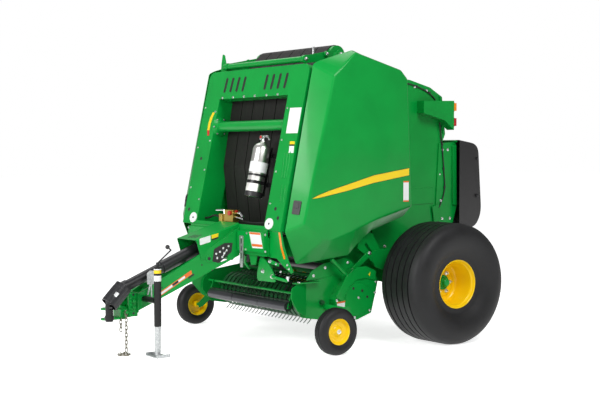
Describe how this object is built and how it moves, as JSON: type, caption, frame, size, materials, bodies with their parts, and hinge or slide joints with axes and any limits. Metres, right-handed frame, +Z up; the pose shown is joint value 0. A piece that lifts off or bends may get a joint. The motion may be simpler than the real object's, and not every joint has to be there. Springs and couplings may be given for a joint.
{
  "type": "round baler",
  "caption": "Towed round baler with tined pickup, belt chamber, lifting tailgate, side shields and tongue jack.",
  "frame": {"origin": "on the ground, on the centre line, midway between the front of the driveline's bell and the rear of the wrap cover", "axes": "+Z up, the hitch points to -Y, +X is the machine's left"},
  "size_m": [2.688, 3.5744, 2.5243],
  "materials": {
    "tyre": "black rubber",
    "green_paint": "gloss green paint",
    "yellow_paint": "gloss yellow paint",
    "black_paint": "satin black paint",
    "belt_rubber": "black belting",
    "black_plastic": "black moulded plastic",
    "zinc": "galvanised steel",
    "chrome_rod": "chromed rod",
    "extinguisher_shell": "polished steel",
    "brass": "yellow passivated fittings",
    "hose_rubber": "black hose",
    "amber_lens": "amber lens",
    "red_lens": "red lens",
    "grey_steel": "bare steel"
  },
  "bodies": {
    "chassis": {"axle_frame": "green_paint", "chamber_belts": "belt_rubber", "chamber_rollers": "black_paint", "chamber_sides": "green_paint", "driveline_bell": "black_plastic", "driveline_guards": "black_plastic", "driveline_joint": "grey_steel", "extinguisher_bracket": "black_paint", "fire_extinguisher": "extinguisher_shell", "front_portal": "green_paint", "gearbox": "black_paint", "gearbox_hood": "green_paint", "hitch": "green_paint", "hoses": "hose_rubber", "jack_tube": "black_paint", "lower_front": "green_paint", "mouth_tube": "green_paint", "reflectors": "amber_lens", "safety_chain": "zinc", "tension_arm": "green_paint", "tongue": "green_paint", "valve_block": "brass"},
    "main_wheel_left": {"main_tyre_left": "tyre", "main_rim_left": "yellow_paint", "main_hub_left": "green_paint"},
    "main_wheel_right": {"main_tyre_right": "tyre", "main_rim_right": "yellow_paint", "main_hub_right": "green_paint"},
    "pickup": {"pickup_frame": "green_paint", "pickup_bands": "green_paint", "pickup_drive_cover": "green_paint", "gauge_arms": "green_paint"},
    "windguard": {"windguard": "black_paint"},
    "pickup_reel": {"pickup_reel": "zinc"},
    "gauge_wheel_left": {"gauge_tyre_left": "tyre", "gauge_rim_left": "yellow_paint"},
    "gauge_wheel_right": {"gauge_tyre_right": "tyre", "gauge_rim_right": "yellow_paint"},
    "tailgate": {"gate_sides": "green_paint", "gate_frame": "green_paint", "gate_rollers": "black_paint", "gate_belts": "belt_rubber", "wiring_harness": "hose_rubber", "lamp_brackets": "green_paint", "lamps_amber": "amber_lens", "lamps_red": "red_lens", "wrap_box": "black_paint"},
    "wrap_cover": {"wrap_cover": "black_plastic"},
    "gate_cylinder_left": {"gate_cylinder_left": "black_paint"},
    "gate_cylinder_right": {"gate_cylinder_right": "black_paint"},
    "gate_rod_left": {"gate_rod_left": "chrome_rod"},
    "gate_rod_right": {"gate_rod_right": "chrome_rod"},
    "shield_left": {"shield_left": "green_paint"},
    "shield_right": {"shield_right": "green_paint"},
    "jack_leg": {"jack_leg": "zinc"},
    "driveline_yoke": {"driveline_yoke": "black_paint"}
  },
  "joints": [
    {"name": "main_wheel_left_spin", "type": "hinge", "parent": "chassis", "child": "main_wheel_left", "pos_m": [1.099, 0.91118, 0.512], "axis": [1, 0, 0], "continuous": true},
    {"name": "main_wheel_right_spin", "type": "hinge", "parent": "chassis", "child": "main_wheel_right", "pos_m": [-1.099, 0.91118, 0.512], "axis": [1, 0, 0], "continuous": true},
    {"name": "pickup_lift", "type": "hinge", "parent": "chassis", "child": "pickup", "pos_m": [0, 0.31718, 0.505], "axis": [-1, 0, 0], "range_deg": [0, 16]},
    {"name": "windguard_spin", "type": "hinge", "parent": "pickup", "child": "windguard", "pos_m": [0, -0.34482, 0.345], "axis": [1, 0, 0], "continuous": true},
    {"name": "pickup_reel_spin", "type": "hinge", "parent": "pickup", "child": "pickup_reel", "pos_m": [0, -0.08782, 0.375], "axis": [1, 0, 0], "continuous": true},
    {"name": "gauge_wheel_left_spin", "type": "hinge", "parent": "pickup", "child": "gauge_wheel_left", "pos_m": [1.087, -0.22082, 0.19], "axis": [1, 0, 0], "continuous": true},
    {"name": "gauge_wheel_right_spin", "type": "hinge", "parent": "pickup", "child": "gauge_wheel_right", "pos_m": [-1.087, -0.22082, 0.19], "axis": [1, 0, 0], "continuous": true},
    {"name": "tailgate_lift", "type": "hinge", "parent": "chassis", "child": "tailgate", "pos_m": [0, 0.40718, 2.235], "axis": [1, 0, 0], "range_deg": [0, 55]},
    {"name": "wrap_cover_lift", "type": "hinge", "parent": "tailgate", "child": "wrap_cover", "pos_m": [0, 1.49718, 1.716], "axis": [1, 0, 0], "range_deg": [0, 70]},
    {"name": "gate_cylinder_left_swing", "type": "hinge", "parent": "chassis", "child": "gate_cylinder_left", "pos_m": [0.66, 0.15718, 1.25], "axis": [1, 0, 0], "range_deg": [0, 13.4]},
    {"name": "gate_cylinder_right_swing", "type": "hinge", "parent": "chassis", "child": "gate_cylinder_right", "pos_m": [-0.66, 0.15718, 1.25], "axis": [1, 0, 0], "range_deg": [0, 13.4]},
    {"name": "gate_rod_left_slide", "type": "slide", "parent": "gate_cylinder_left", "child": "gate_rod_left", "axis": [0, 0.8262, 0.5633], "range_m": [0, 0.5726]},
    {"name": "gate_rod_right_slide", "type": "slide", "parent": "gate_cylinder_right", "child": "gate_rod_right", "axis": [0, 0.8262, 0.5633], "range_m": [0, 0.5726]},
    {"name": "shield_left_lift", "type": "hinge", "parent": "chassis", "child": "shield_left", "pos_m": [0.7, 0.20118, 2.425], "axis": [0, -1, 0], "range_deg": [0, 70]},
    {"name": "shield_right_lift", "type": "hinge", "parent": "chassis", "child": "shield_right", "pos_m": [-0.7, 0.20118, 2.425], "axis": [0, 1, 0], "range_deg": [0, 70]},
    {"name": "jack_leg_slide", "type": "slide", "parent": "chassis", "child": "jack_leg", "axis": [0, 0, 1], "range_m": [0, 0.22]},
    {"name": "driveline_yoke_spin", "type": "hinge", "parent": "chassis", "child": "driveline_yoke", "pos_m": [0.126, -1.73482, 0.4], "axis": [0, 0, 1], "continuous": true}
  ],
  "couplings": [
    {"joint": "gate_cylinder_left_swing", "follows": "tailgate_lift", "ratio": 0.24364},
    {"joint": "gate_cylinder_right_swing", "follows": "tailgate_lift", "ratio": 0.24364},
    {"joint": "gate_rod_left_slide", "follows": "tailgate_lift", "m_per_rad": 0.5965},
    {"joint": "gate_rod_right_slide", "follows": "tailgate_lift", "m_per_rad": 0.5965}
  ]
}
